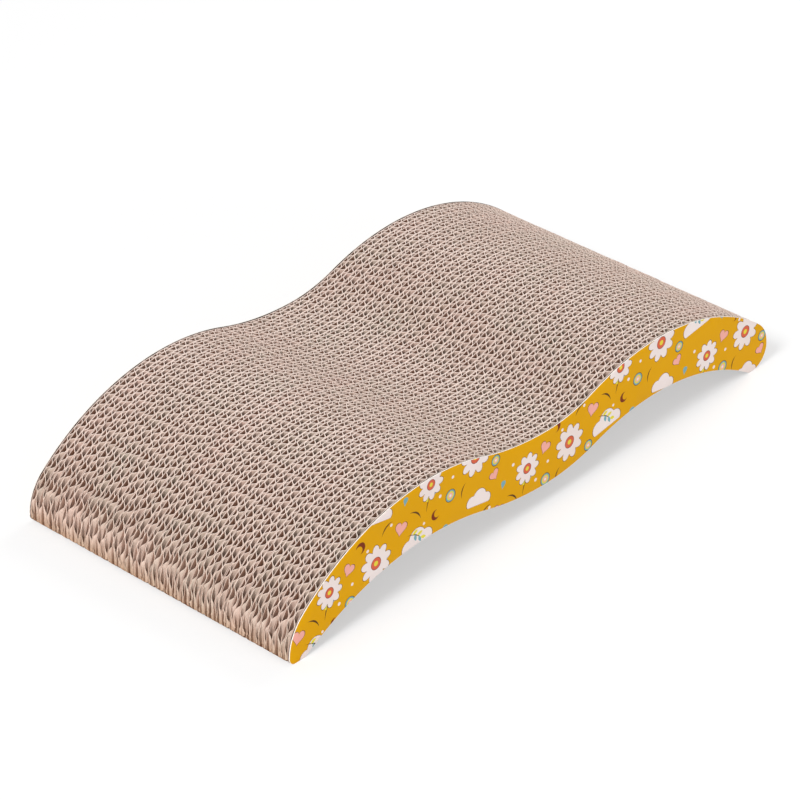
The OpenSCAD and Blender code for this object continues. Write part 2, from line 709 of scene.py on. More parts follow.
    def rings(self, x: Array, y: Array, thickness: float, shift: Array, z: Array) -> Array:
        """Rings of corners, down one side of an upright paper and up the other.

        Half the thickness is laid off square to the line on both sides, and no corner
        reaches past the tips or the outer seams.

        Args:
            x: Places of the line's points along the length.
            y: Places of the line's points across the width.
            thickness: The paper's thickness.
            shift: How far each corner stands aside, one row a point.
            z: Height of each corner, one row a point.

        Returns:
            The vertices, ring after ring.
        """
        run = np.gradient(x)
        rise = np.gradient(y)
        size = np.hypot(run, rise)
        aside = pair(-rise / size, run / size) * thickness / 2
        line = np.stack([x[:, None] + 0 * z, y[:, None] + shift, z], axis=2)
        offset = np.concatenate([aside, 0 * x[:, None]], axis=1)[:, None]
        ring = np.concatenate([line + offset, (line - offset)[:, ::-1]], axis=1)
        half = self.outline.length / 2 - self.outline.tip_gap / 2
        ring[..., 0] = np.clip(ring[..., 0], -half, half)
        ring[..., 1] = np.clip(ring[..., 1], self.low_y, self.high_y)
        return ring.reshape(-1, 3)

    @staticmethod
    def quads(count: int, rows: int) -> Array:
        """Four-cornered faces between neighbouring rings, and a cap at each end.

        Args:
            count: Number of rings.
            rows: Corners down one side of a ring.

        Returns:
            Vertex numbers, one row a face.
        """
        around = 2 * rows
        here = np.arange(count - 1)[:, None] * around + np.arange(around)[None]
        beside = np.roll(here, -1, axis=1)
        skin = np.stack([here, here + around, beside + around, beside], axis=2).reshape(-1, 4)
        rung = np.arange(rows - 1)
        cap = np.stack([rung, around - 1 - rung, around - 2 - rung, rung + 1], axis=1)
        return np.concatenate([skin, cap[:, ::-1], cap + (count - 1) * around])


class Ink(Enum):
    """Inks of the printed boards, as linear colours."""

    GROUND = linear(214, 156, 0)
    WHITE = linear(230, 218, 216)
    CORAL = linear(208, 94, 70)
    PINK = linear(232, 166, 156)
    TEAL = linear(112, 162, 172)
    LIME = linear(220, 208, 66)
    MAROON = linear(112, 36, 22)
    BROWN = linear(76, 44, 26)


def circle(radius: float, count: int = 20) -> Array:
    """A circle about the origin, anticlockwise."""
    turn = circuit(count)
    return radius * pair(np.cos(turn), np.sin(turn))


def petals(radius: float, number: int, depth: float, count: int = 80) -> Array:
    """A flower's edge: a circle whose radius dips between its petals.

    Each petal follows half a cosine, rounded by the power 0.7.

    Args:
        radius: Radius at the petals' tips.
        number: Number of petals.
        depth: How far the radius dips, as a share of it.
        count: Number of points.

    Returns:
        The closed edge's points, anticlockwise.
    """
    turn = circuit(count)
    reach = radius * (1 - depth * (1 - np.abs(np.cos(number * turn / 2)) ** 0.7))
    return pair(reach * np.cos(turn), reach * np.sin(turn))


def heart(size: float, count: int = 36) -> Array:
    """A heart: the sine cubed across, four cosines up.

    Args:
        size: Its width.
        count: Number of points.

    Returns:
        The closed edge's points, anticlockwise.
    """
    turn = circuit(count)
    up = 13 * np.cos(turn) - 5 * np.cos(2 * turn) - 2 * np.cos(3 * turn) - np.cos(4 * turn)
    return size / 32 * pair(-16 * np.sin(turn) ** 3, up + 2)


def blade(length: float, width: float, bow: float, count: int = 12) -> Array:
    """A pointed leaf along +x: half a sine wide on both sides of a bowed rib.

    The rib is a parabola, and a twentieth of the width is left at the tips.

    Args:
        length: Length from tip to tip.
        width: Greatest width.
        bow: How far the rib's middle stands off a straight line.
        count: Points along one side.

    Returns:
        The closed edge's points, anticlockwise.
    """
    share = np.linspace(0, 1, count)
    rib = 4 * bow * share * (1 - share)
    half = width / 2 * np.sin(np.pi * share) + 0.05 * width
    return np.concatenate([pair(length * share, rib - half), pair(length * share, rib + half)[::-1]])


def cloud(length: float, count: int = 72) -> Array:
    """A cloud: three humps above a flat base, as the farthest of three circles.

    Each hump's row holds its centre and its radius, as shares of the length.

    Args:
        length: Length of the base.
        count: Number of points.

    Returns:
        The closed edge's points, anticlockwise.
    """
    ray = circle(1.0, count)
    base = -0.13
    humps = np.array([[-0.28, 0.0, 0.20], [0.02, 0.10, 0.26], [0.30, -0.01, 0.19]])
    along = ray @ humps[:, :2].T
    inside = along**2 - (humps[:, :2] ** 2).sum(1) + humps[:, 2] ** 2
    reach = (along + np.sqrt(np.maximum(inside, 0))) * (inside > 0)
    points = ray * reach.max(axis=1)[:, None]
    points[:, 1] = np.maximum(points[:, 1], base)
    return length * points


class Motif(Enum):
    """Small drawings of the print."""

    DAISY = "daisy"
    CLOUD = "cloud"
    HEART = "heart"
    SPRIG = "sprig"
    DROP = "drop"
    RING = "ring"
    MOON = "moon"
    DOT = "dot"
    TWIG = "twig"

    def shapes(self, size: float) -> list[tuple[Array, Ink]]:
        """The drawing's closed shapes, lowest first, about the origin.

        Args:
            size: The drawing's greatest width.

        Returns:
            Pairs of a shape's points and its ink.
        """
        line = 0.4 * MM
        if self is Motif.DAISY:
            return [
                (petals(size / 2 + line, 9, 0.36), Ink.BROWN),
                (petals(size / 2, 9, 0.38), Ink.WHITE),
                (circle(size * 0.17), Ink.MAROON),
                (circle(size * 0.17 - line), Ink.CORAL),
                (circle(size * 0.07, 12), Ink.LIME),
            ]
        if self is Motif.CLOUD:
            return [(cloud(size + 2 * line), Ink.BROWN), (cloud(size), Ink.WHITE)]
        if self is Motif.HEART:
            return [(heart(size + 2 * line), Ink.BROWN), (heart(size), Ink.PINK)]
        if self is Motif.SPRIG:
            return self.sprig(size)
        if self is Motif.DROP:
            turn = circuit(20)
            wide = size * 0.34 * np.sin(turn) * (1 - np.cos(turn)) / 1.3
            return [(pair(wide, -size / 2 * np.cos(turn)), Ink.TEAL)]
        if self is Motif.RING:
            return [
                (circle(size / 2 + line), Ink.BROWN),
                (circle(size / 2), Ink.TEAL),
                (circle(size * 0.37), Ink.LIME),
                (circle(size * 0.25, 16), Ink.PINK),
                (circle(size * 0.12, 12), Ink.WHITE),
            ]
        if self is Motif.MOON:
            outer = np.linspace(-2.3, 2.3, 18)
            inner = np.linspace(1.9, -1.9, 12)
            back = pair(np.cos(outer), np.sin(outer))
            front = pair(0.72 * np.cos(inner) - 0.42, 0.79 * np.sin(inner))
            return [(size / 2 * np.concatenate([back, front]), Ink.MAROON)]
        if self is Motif.DOT:
            return [(circle(size / 2, 12), Ink.WHITE)]
        return [(blade(size, size * 0.09, size * 0.16), Ink.BROWN)]

    @staticmethod
    def sprig(size: float) -> list[tuple[Array, Ink]]:
        """A bowed stem with leaves on both sides, from its foot at the left.

        Args:
            size: The stem's length.

        Returns:
            Pairs of a shape's points and its ink.
        """
        shapes = [(blade(size, size * 0.05, size * 0.1), Ink.BROWN)]
        for share, turn in ((0.3, 50), (0.45, -48), (0.62, 42), (0.75, -40), (0.9, 10)):
            foot = np.array([share * size, 0.4 * size * share * (1 - share)])
            leaf = place(blade(size * 0.34, size * 0.15, 0.0, 8), foot, math.radians(turn))
            shapes.append((leaf, Ink.LIME if turn > 0 else Ink.TEAL))
        return shapes


def place(points: Array, centre: Array, turn: float) -> Array:
    """Turn flat points about the origin and move them to a centre.

    Args:
        points: Rows of two coordinates.
        centre: Where the origin goes.
        turn: Angle, anticlockwise.

    Returns:
        The moved points.
    """
    cos, sin = math.cos(turn), math.sin(turn)
    return points @ np.array([[cos, sin], [-sin, cos]]) + centre


@dataclass(frozen=True)
class Repeat:
    """Wallpaper repeat of the print: drawings in a cell, every second column dropped by half.

    Each drawing has its motif, its place along and up in the cell, its size and its turn,
    in millimetres and degrees.
    """

    width: float = 86 * MM
    height: float = 62 * MM
    drawings: tuple[tuple[Motif, float, float, float, float], ...] = (
        (Motif.DAISY, 17, 17, 25, 10),
        (Motif.CLOUD, 52, 14, 27, 8),
        (Motif.HEART, 38, 30, 10, -18),
        (Motif.SPRIG, 60, 31, 21, 62),
        (Motif.DAISY, 64, 48, 21, 35),
        (Motif.CLOUD, 20, 47, 22, -10),
        (Motif.DROP, 77, 10, 7.5, 20),
        (Motif.DROP, 42, 47, 6, -15),
        (Motif.RING, 35, 6, 7, 0),
        (Motif.RING, 81, 32, 8, 0),
        (Motif.MOON, 4, 34, 8, 40),
        (Motif.MOON, 68, 25, 7, 200),
        (Motif.HEART, 34, 58, 8, 24),
        (Motif.HEART, 80, 55, 9, -30),
        (Motif.TWIG, 22, 33, 11, 35),
        (Motif.TWIG, 46, 37, 12, -40),
        (Motif.TWIG, 5, 56, 10, 70),
        (Motif.SPRIG, 44, 22, 14, -30),
        (Motif.DOT, 30, 37, 2.2, 0),
        (Motif.DOT, 72, 36, 2.4, 0),
        (Motif.DOT, 51, 57, 2.4, 0),
        (Motif.DOT, 10, 29, 2.2, 0),
        (Motif.DOT, 58, 24, 2.0, 0),
        (Motif.DOT, 83, 44, 2.2, 0),
    )

    def shapes(self, low: Array, high: Array, shift: Array) -> list[tuple[Array, Ink]]:
        """All shapes of the print over a box.

        Args:
            low: The box's low corner (x, z).
            high: The box's high corner (x, z).
            shift: Where the repeat starts, counted from the low corner.

        Returns:
            Pairs of points and ink, lowest first.
        """
        made = []
        columns = int((high[0] - low[0]) / self.width) + 3
        rows = int((high[1] - low[1]) / self.height) + 3
        for column in range(-1, columns):
            for row in range(-1, rows):
                drop = self.height / 2 * (column % 2)
                corner = low + shift + [column * self.width, row * self.height - drop]
                made += self.cell(corner)
        return made

    def cell(self, corner: Array) -> list[tuple[Array, Ink]]:
        """The shapes of one cell of the repeat.

        Args:
            corner: The cell's low corner (x, z).

        Returns:
            Pairs of points and ink, lowest first.
        """
        made = []
        for motif, x, z, size, turn in self.drawings:
            centre = corner + np.array([x, z]) * MM
            for points, ink in motif.shapes(size * MM):
                made.append((place(points, centre, math.radians(turn)), ink))
        return made


@dataclass
class SideBoard:
    """One printed side board: a white sheet with an inked face, lined with grey board.

    The grey board's edge lies a little inside the white sheet's, which leaves a thin
    groove between the sheet and the strips.
    """

    outline: Outline
    node: str
    outer_y: float
    inner_y: float
    print_shift: tuple[float, float]
    rim: float = 0.14 * MM
    sheet: float = 0.5 * MM
    groove: float = 0.12 * MM
    run_out: float = 12 * MM
    step: float = 1.5 * MM
    margin: float = 0.4 * MM
    sharp_angle: float = 50.0
    repeat: Repeat = Repeat()

    def facing(self) -> float:
        """Minus one where the printed face looks towards -y, else one."""
        return math.copysign(1.0, self.outer_y - self.inner_y)

    def build(self) -> bpy.types.Object:
        """Make the board as one closed mesh with an ink colour on every face corner.

        Returns:
            The board's piece.
        """
        edge = self.outline.loop(self.step)
        flat, triangles, inks = self.inked(edge - self.rim * self.outward(edge))
        ring = self.ring(flat, triangles)
        points, faces, marks = self.walls(flat, ring)
        front = triangles if self.facing() < 0 else triangles[:, ::-1]
        mesh = bpy.data.meshes.new("printed_" + self.node)
        mesh.from_pydata(points.tolist(), [], front.tolist() + faces.tolist())
        mesh.update()
        papers = np.concatenate([np.zeros(len(front), int), marks])
        mesh.polygons.foreach_set("material_index", papers.astype(np.int32))
        mesh.polygons.foreach_set("use_smooth", papers > 0)
        mesh.set_sharp_from_angle(angle=math.radians(self.sharp_angle))
        colour = mesh.color_attributes.new("ink", "FLOAT_COLOR", "CORNER")
        corners = np.ones((3 * (len(front) + len(faces)), 4), np.float32)
        corners[: 3 * len(front), :3] = np.repeat(inks, 3, axis=0)
        colour.data.foreach_set("color", corners.ravel())
        piece = link("printed_" + self.node, mesh)
        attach(piece, BODY)
        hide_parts(self.node)
        return piece

    @staticmethod
    def outward(loop: Array) -> Array:
        """Unit normals of a loop: its direction past each point, turned to the right.

        Args:
            loop: The loop's points, anticlockwise.

        Returns:
            One normal for each point, away from the loop's inside.
        """
        along = np.roll(loop, -1, axis=0) - np.roll(loop, 1, axis=0)
        along /= np.linalg.norm(along, axis=1)[:, None]
        return pair(along[:, 1], -along[:, 0])

    def inked(self, edge: Array) -> tuple[Array, Array, Array]:
        """Cut the printed face into triangles along the edges of every ink shape.

        Args:
            edge: The face's own edge, as points (x, z).

        Returns:
            The points, the triangles, and one ink colour a triangle: the topmost shape's.
        """
        shapes = self.repeat.shapes(edge.min(0), edge.max(0), np.array(self.print_shift))
        near = [(points, ink) for points, ink in shapes if self.touches(points, edge)]
        inks = np.array([Ink.GROUND.value] + [ink.value for _, ink in near])
        flat, triangles, _, owners = triangulate([edge] + [points for points, _ in near])
        inside = np.array([0 in group for group in owners])
        topmost = np.array([max(group, default=0) for group in owners])
        used, renumbered = np.unique(triangles[inside], return_inverse=True)
        return flat[used], renumbered.reshape(-1, 3), inks[topmost[inside]]

    def touches(self, points: Array, edge: Array) -> bool:
        """Whether a shape has a point in the outline or within the margin about it.

        Args:
            points: The shape's points.
            edge: The printed face's edge.

        Returns:
            True where the shape may show on the face.
        """
        x = np.clip(points[:, 0], edge[:, 0].min(), edge[:, 0].max())
        below = points[:, 1] < self.outline.top(x) + self.margin
        above = points[:, 1] > self.outline.bottom(x) - self.margin
        return bool((below & above).any())

    def ring(self, flat: Array, triangles: Array) -> Array:
        """Numbers of the points on the face's edge, anticlockwise.

        The edge has one triangle on it and every inner line two. The outline has one
        underside and one upper side at each place, so the edge's points are ordered by
        their place along the underside and then back along the upper side. A thousandth
        of the height decides where points stand above each other at a tip.

        Args:
            flat: The face's points.
            triangles: The face's triangles.

        Returns:
            The point numbers in order.
        """
        pairs = triangles[:, [0, 1, 1, 2, 2, 0]].reshape(-1, 2)
        lines, count = np.unique(np.sort(pairs, axis=1), axis=0, return_counts=True)
        rim_numbers = np.unique(lines[count == 1])
        x, z = flat[rim_numbers].T
        tilt = 0.001 * z * np.sign(x)
        below = z < (self.outline.top(x) + self.outline.bottom(x)) / 2
        lower = rim_numbers[below][np.argsort((x + tilt)[below])]
        upper = rim_numbers[~below][np.argsort((tilt - x)[~below])]
        return np.concatenate([lower, upper])

    def walls(self, flat: Array, ring: Array) -> tuple[Array, Array, Array]:
        """Rounded rim, cut edges of both layers and the glued face of the board.

        The rim is a quarter round with one row of points at its middle.

        Args:
            flat: The printed face's points.
            ring: Numbers of the points on its edge.

        Returns:
            All vertices, the added triangles, and each one's paper: 1 white, 2 grey.
        """
        side = self.facing()
        inner = flat[ring]
        outer = inner + self.rim * self.outward(inner)
        soft = self.rim * (1 - math.sqrt(0.5))
        between = inner + (self.rim - soft) * self.outward(inner)
        levels = [(between, self.outer_y - side * soft), (outer, self.outer_y - side * self.rim)]
        sunk = self.sunk(outer)
        seam = self.outer_y - side * self.sheet
        levels += [(outer, seam), (sunk, seam), (sunk, self.inner_y)]
        plane = self.lift(flat, self.outer_y)
        points = np.concatenate([plane] + [self.lift(spot, y) for spot, y in levels])
        size = len(ring)
        rows = [ring] + [len(flat) + size * level + np.arange(size) for level in range(len(levels))]
        bands = [self.band(upper, lower) for upper, lower in zip(rows[:-1], rows[1:])]
        _, triangles, sources, owners = triangulate([sunk])
        own = np.array([group[0] for group in sources])
        inside = np.array([len(group) > 0 for group in owners])
        glued = rows[-1][own[triangles[inside]]]
        around = np.concatenate(bands)
        if side > 0:
            around = around[:, ::-1]
        else:
            glued = glued[:, ::-1]
        faces = np.concatenate([around, glued])
        white = sum(len(band) for band in bands[:3])
        return points, faces, np.where(np.arange(len(faces)) < white, 1, 2)

    def sunk(self, loop: Array) -> Array:
        """The grey board's edge: the loop's upper side let down and its underside raised.

        Args:
            loop: The white sheet's edge.

        Returns:
            The moved points. The move falls to nothing where the board runs out.
        """
        top, bottom = self.outline.top(loop[:, 0]), self.outline.bottom(loop[:, 0])
        share = np.clip((top - bottom) / self.run_out, 0, 1)
        towards = np.where(loop[:, 1] > (top + bottom) / 2, -1, 1)
        return loop + pair(0 * share, self.groove * share * towards)

    @staticmethod
    def band(near: Array, far: Array) -> Array:
        """Two triangles for each step of two closed rows of points.

        Args:
            near: Numbers of the points in the one row.
            far: Numbers of the points in the other row.

        Returns:
            The triangles' point numbers.
        """
        first = np.stack([near, far, np.roll(far, -1)], axis=1)
        second = np.stack([near, np.roll(far, -1), np.roll(near, -1)], axis=1)
        return np.concatenate([first, second])

    @staticmethod
    def lift(flat: Array, y: float) -> Array:
        """Flat points (x, z) as points in space at one y."""
        return np.stack([flat[:, 0], np.full(len(flat), y), flat[:, 1]], axis=1)


Socket = bpy.types.NodeSocket
Feed = Socket | float | Colour


@dataclass
class Wiring:
    """Short calls for putting nodes into a node tree and joining them.

    A Mix node takes its share and two colours at the numbered inputs and gives the mixed
    colour at the numbered output.
    """

    tree: bpy.types.NodeTree
    mix_inputs: tuple[int, int, int] = (0, 6, 7)
    mix_output: int = 2

    @classmethod
    def fresh(cls, owner: bpy.types.Material | bpy.types.World) -> Wiring:
        """Turn on the nodes of a material or world, and start from an empty tree.

        Args:
            owner: The material or world.

        Returns:
            The wiring of its tree.
        """
        owner.use_nodes = True
        owner.node_tree.nodes.clear()
        return cls(owner.node_tree)

    def add(self, kind: str, **settings: object) -> bpy.types.Node:
        """Put a node into the tree.

        Args:
            kind: Blender's name of the kind of node.
            **settings: Values of the node's properties.

        Returns:
            The new node.
        """
        node = self.tree.nodes.new(kind)
        for name, value in settings.items():
            setattr(node, name, value)
        return node

    def feed(self, socket: Socket, source: Feed) -> None:
        """Join a socket to another, or set it to a number or a colour.

        Args:
            socket: The socket that takes the value.
            source: A socket that gives it, a number or a colour.
        """
        if isinstance(source, Socket):
            self.tree.links.new(source, socket)
        elif isinstance(source, tuple):
            socket.default_value = (*source, 1.0)
        else:
            socket.default_value = source

    def mix(self, share: Feed, first: Feed, second: Feed, blend: str = "MIX") -> Socket:
        """Mix two colours by a share.

        Args:
            share: From 0, the first colour, to 1, the second.
            first: The first colour.
            second: The second colour.
            blend: Blender's name of the way to mix.

        Returns:
            The mixed colour's socket.
        """
        node = self.add("ShaderNodeMix", data_type="RGBA", blend_type=blend)
        for index, source in zip(self.mix_inputs, (share, first, second)):
            self.feed(node.inputs[index], source)
        return node.outputs[self.mix_output]

    def math(self, operation: str, first: Feed, second: Feed = 0.0) -> Socket:
        """Work out one operation of two numbers.

        Args:
            operation: Blender's name of the operation.
            first: The first number.
            second: The second number.

        Returns:
            The result's socket, kept from 0 to 1.
        """
        node = self.add("ShaderNodeMath", operation=operation, use_clamp=True)
        self.feed(node.inputs[0], first)
        self.feed(node.inputs[1], second)
        return node.outputs[0]

    def spread(
        self, value: Socket, low: float, high: float, to_low: float = 0.0, to_high: float = 1.0
    ) -> Socket:
        """Spread the values of one range over another, and hold the rest at its ends.

        Args:
            value: The value's socket.
            low: Low end of the range.
            high: High end of the range.
            to_low: What the low end becomes.
            to_high: What the high end becomes.

        Returns:
            The spread value's socket.
        """
        node = self.add("ShaderNodeMapRange", clamp=True)
        self.feed(node.inputs[0], value)
        for index, number in enumerate((low, high, to_low, to_high), start=1):
            node.inputs[index].default_value = number
        return node.outputs[0]

    def noise(self, place_socket: Socket, size: float, detail: float = 2.0) -> Socket:
        """Noise whose blobs are about as wide as a size.

        Args:
            place_socket: The place that the noise is read at.
            size: Width of a blob, in metres.
            detail: How many finer layers it has.

        Returns:
            The noise's socket, from 0 to 1.
        """
        node = self.add("ShaderNodeTexNoise")
        self.feed(node.inputs["Vector"], place_socket)
        node.inputs["Scale"].default_value = 1.0 / size
        node.inputs["Detail"].default_value = detail
        return node.outputs["Fac"]

    def attribute(self, name: str) -> bpy.types.Node:
        """A node that reads an attribute of the piece's own mesh."""
        return self.add("ShaderNodeAttribute", attribute_type="GEOMETRY", attribute_name=name)


@dataclass(frozen=True)
class Mask:
    """One mask of the paper's grain: noise between two values, spread from 0 to 1.

    An upright mask is drawn out along the height.
    """

    name: str
    size: float
    detail: float
    low: float
    high: float
    upright: bool = False


@dataclass(frozen=True)
class PaperGrain:
    """Shader group of recycled paper: fibres, dark flecks, cloudy patches and blotches."""

    name: str = "paper_grain"
    upright_scale: Spot = (1.0, 1.0, 0.28)
    masks: tuple[Mask, ...] = (
        Mask("Fibre", 0.5 * MM, 4.0, 0.3, 0.7, upright=True),
        Mask("Fleck", 1.1 * MM, 2.0, 0.66, 0.74),
        Mask("Blotch", 7 * MM, 3.0, 0.4, 0.6),
        Mask("Patch", 38 * MM, 5.0, 0.36, 0.64),
    )

    def build(self) -> bpy.types.NodeTree:
        """Make the group, or give the one that is already made.

        Returns:
            The node group, which puts out Fibre, Fleck, Blotch and Patch, from 0 to 1.
        """
        if self.name in bpy.data.node_groups:
            return bpy.data.node_groups[self.name]
        tree = bpy.data.node_groups.new(self.name, "ShaderNodeTree")
        tree.interface.new_socket("Place", in_out="INPUT", socket_type="NodeSocketVector")
        for mask in self.masks:
            tree.interface.new_socket(mask.name, in_out="OUTPUT", socket_type="NodeSocketFloat")
        wiring = Wiring(tree)
        start = wiring.add("NodeGroupInput").outputs["Place"]
        end = wiring.add("NodeGroupOutput")
        stretch = wiring.add("ShaderNodeMapping")
        stretch.inputs["Scale"].default_value = self.upright_scale
        wiring.feed(stretch.inputs["Vector"], start)
        for mask in self.masks:
            spot = stretch.outputs[0] if mask.upright else start
            noise = wiring.noise(spot, mask.size, mask.detail)
            wiring.feed(end.inputs[mask.name], wiring.spread(noise, mask.low, mask.high))
        return tree


@dataclass
class Shading:
    """A new material with its shader, its place on the piece and its paper grain.

    Its roughness runs between two values with the fibres, whose relief is given in
    metres.
    """

    name: str
    specular: float
    roughness: tuple[float, float]
    relief: float
    bump_strength: float = 0.6
    material: bpy.types.Material = field(init=False)
    wiring: Wiring = field(init=False)
    shader: bpy.types.Node = field(init=False)
    place: Socket = field(init=False)
    grain: bpy.types.Node = field(init=False)

    def __post_init__(self) -> None:
        """Make the material and its first nodes."""
        self.material = bpy.data.materials.new(self.name)
        self.wiring = Wiring.fresh(self.material)
        self.shader = self.wiring.add("ShaderNodeBsdfPrincipled")
        self.shader.inputs["Specular IOR Level"].default_value = self.specular
        end = self.wiring.add("ShaderNodeOutputMaterial")
        self.wiring.feed(end.inputs[0], self.shader.outputs[0])
        self.place = self.wiring.add("ShaderNodeTexCoord").outputs["Object"]
        self.grain = self.wiring.add("ShaderNodeGroup", node_tree=PaperGrain().build())
        self.wiring.feed(self.grain.inputs["Place"], self.place)

    def tinted(self, colour: Feed, mask: str, share: float, tint: Colour) -> Socket:
        """Mix a tint into a colour by a share of one of the grain's masks."""
        amount = self.wiring.math("MULTIPLY", self.grain.outputs[mask], share)
        return self.wiring.mix(amount, colour, tint)

    def finish(self, colour: Socket) -> bpy.types.Material:
        """Give the shader its colour, and let roughness and a small bump follow the fibres.

        Args:
            colour: The colour's socket.

        Returns:
            The finished material.
        """
        fibre = self.grain.outputs["Fibre"]
        roughness = self.wiring.spread(fibre, 0, 1, *self.roughness)
        bump = self.wiring.add("ShaderNodeBump")
        bump.inputs["Strength"].default_value = self.bump_strength
        bump.inputs["Distance"].default_value = self.relief
        self.wiring.feed(bump.inputs["Height"], fibre)
        self.wiring.feed(self.shader.inputs["Base Color"], colour)
        self.wiring.feed(self.shader.inputs["Roughness"], roughness)
        self.wiring.feed(self.shader.inputs["Normal"], bump.outputs[0])
        return self.material


@dataclass(frozen=True)
class KraftFinish:
    """Brown recycled board: drifting tint, fibres, flecks, paler cut edges and painted shade.

    The painted shade darkens the liners, the depths of the cells and the colour towards
    the floor, and lays a painted contact shadow and warm floor reflection in blotches
    along the bottom rim. A ramp runs between two values, such as two heights above the
    floor, and names the shares that it reaches at them.
    """

    warm: Colour = linear(233, 200, 186)
    cool: Colour = linear(212, 199, 181)
    # Painted shade: the colour is multiplied towards this one lower down, towards the floor.
    foot: Colour = linear(214, 198, 178)
    # Painted contact shadow and warm floor reflection, laid in blotches along the bottom rim.
    floor_shadow_and_reflection: Colour = linear(170, 116, 72)
    # Painted shade: the liners are browner than the fluting, which darkens the cells that they close.
    liner: Colour = linear(156, 118, 98)
    # Colour of the painted shade in the depths, multiplied in by its mask.
    painted_shade: Colour = linear(92, 82, 74)
    fibre: Colour = linear(158, 124, 104)
    fleck: Colour = linear(110, 82, 64)
    cut: Colour = linear(248, 230, 220)
    patch_share: float = 0.65
    tone_share: float = 0.35
    fibre_share: float = 0.35
    fleck_share: float = 0.5
    bare: Ramp = (0.0, 1.0, 1.0, 0.72)
    # Heights and shares of the painted shade towards the floor.
    wide_floor_shade: Ramp = (10 * MM, 50 * MM, 0.2, 0.0)
    near_floor_shade: Ramp = (3 * MM, 15 * MM, 0.8, 0.0)
    # Heights and blotch spread of the painted contact shadow and floor reflection.
    rim: Ramp = (1.2 * MM, 3.6 * MM, 1.0, 0.0)
    shade_blotches: Ramp = (0.0, 1.0, 0.3, 1.0)

    def build(self) -> bpy.types.Material:
        """Make the material of the strips.

        Returns:
            The material, which reads the masks of tone, liner, painted shade and cut of the mesh.
        """
        shading = Shading("kraft_board_paper", 0.2, (0.84, 0.95), 0.05 * MM)
        wiring, masks = shading.wiring, shading.grain.outputs
        shares = {name: wiring.attribute(name).outputs["Fac"] for name in ("tone", "liner", "painted_shade", "cut")}
        patch = wiring.math("MULTIPLY", masks["Patch"], self.patch_share)
        tone = wiring.math("MULTIPLY", shares["tone"], self.tone_share)
        colour = wiring.mix(wiring.math("ADD", patch, tone), self.warm, self.cool)
        # Painted shade: browner liners darken the cells.
        colour = wiring.mix(shares["liner"], colour, self.liner)
        colour = shading.tinted(colour, "Fibre", self.fibre_share, self.fibre)
        colour = shading.tinted(colour, "Fleck", self.fleck_share, self.fleck)
        # Painted shade of the depths.
        colour = wiring.mix(shares["painted_shade"], colour, self.painted_shade, "MULTIPLY")
        bare = wiring.math("MULTIPLY", shares["cut"], wiring.spread(masks["Fibre"], *self.bare))
        colour = wiring.mix(bare, colour, self.cut)
        # Painted shade: darker towards the floor.
        parts = wiring.add("ShaderNodeSeparateXYZ")
        wiring.feed(parts.inputs[0], shading.place)
        height = parts.outputs["Z"]
        wide, near = wiring.spread(height, *self.wide_floor_shade), wiring.spread(height, *self.near_floor_shade)
        colour = wiring.mix(wiring.math("ADD", wide, near), colour, self.foot, "MULTIPLY")
        # Painted contact shadow and warm floor reflection, in blotches along the bottom rim.
        shade_blotches = wiring.spread(masks["Blotch"], *self.shade_blotches)
        contact_shaded = wiring.math("MULTIPLY", wiring.spread(height, *self.rim), shade_blotches)
        return shading.finish(wiring.mix(contact_shaded, colour, self.floor_shadow_and_reflection, "MULTIPLY"))


@dataclass(frozen=True)
class SheetFinish:
    """White sheet at the cut edges of the side boards."""

    white: Colour = linear(246, 240, 230)
    shade: Colour = linear(214, 200, 184)
    fibre_share: float = 0.45

    def build(self) -> bpy.types.Material:
        """Make the material of the white sheet."""
        shading = Shading("white_board_core", 0.25, (0.8, 0.94), 0.04 * MM)
        return shading.finish(shading.tinted(self.white, "Fibre", self.fibre_share, self.shade))


@dataclass(frozen=True)
class GreyFinish:
    """Grey board behind the white sheet, with painted shadow in darker stretches along its cut edge."""

    pale: Colour = linear(150, 132, 126)
    # Near black: the painted shadow in stretches along the cut edge, and the fibres' tint.
    dark: Colour = linear(44, 34, 32)
    stretch_size: float = 4.5 * MM
    stretch_detail: float = 1.0
    stretch: Ramp = (0.4, 0.56, 0.0, 1.0)
    fibre_share: float = 0.3

    def build(self) -> bpy.types.Material:
        """Make the material of the lining.

        Returns:
            The material.
        """
        shading = Shading("grey_board_lining", 0.2, (0.86, 0.96), 0.05 * MM)
        # Painted shadow: noise lays dark stretches along the cut edge.
        noise = shading.wiring.noise(shading.place, self.stretch_size, self.stretch_detail)
        colour = shading.wiring.mix(shading.wiring.spread(noise, *self.stretch), self.pale, self.dark)
        return shading.finish(shading.tinted(colour, "Fibre", self.fibre_share, self.dark))


@dataclass(frozen=True)
class PrintFinish:
    """Ink on coated paper: each shape's ink, thinner in places, under a soft satin."""

    thin: Colour = linear(236, 186, 30)
    dusty: Colour = linear(172, 118, 12)
    fibre_share: float = 0.02
    patch_share: float = 0.07
    fleck_share: float = 0.05

    def build(self) -> bpy.types.Material:
        """Make the material of the printed faces.

        Returns:
            The material, which reads the ink colours of the mesh.
        """
        shading = Shading("printed_paper", 0.05, (0.44, 0.6), 0.012 * MM)
        colour = shading.wiring.attribute("ink").outputs["Color"]
        colour = shading.tinted(colour, "Fibre", self.fibre_share, self.thin)
        colour = shading.tinted(colour, "Patch", self.patch_share, self.dusty)
        return shading.finish(shading.tinted(colour, "Fleck", self.fleck_share, self.thin))


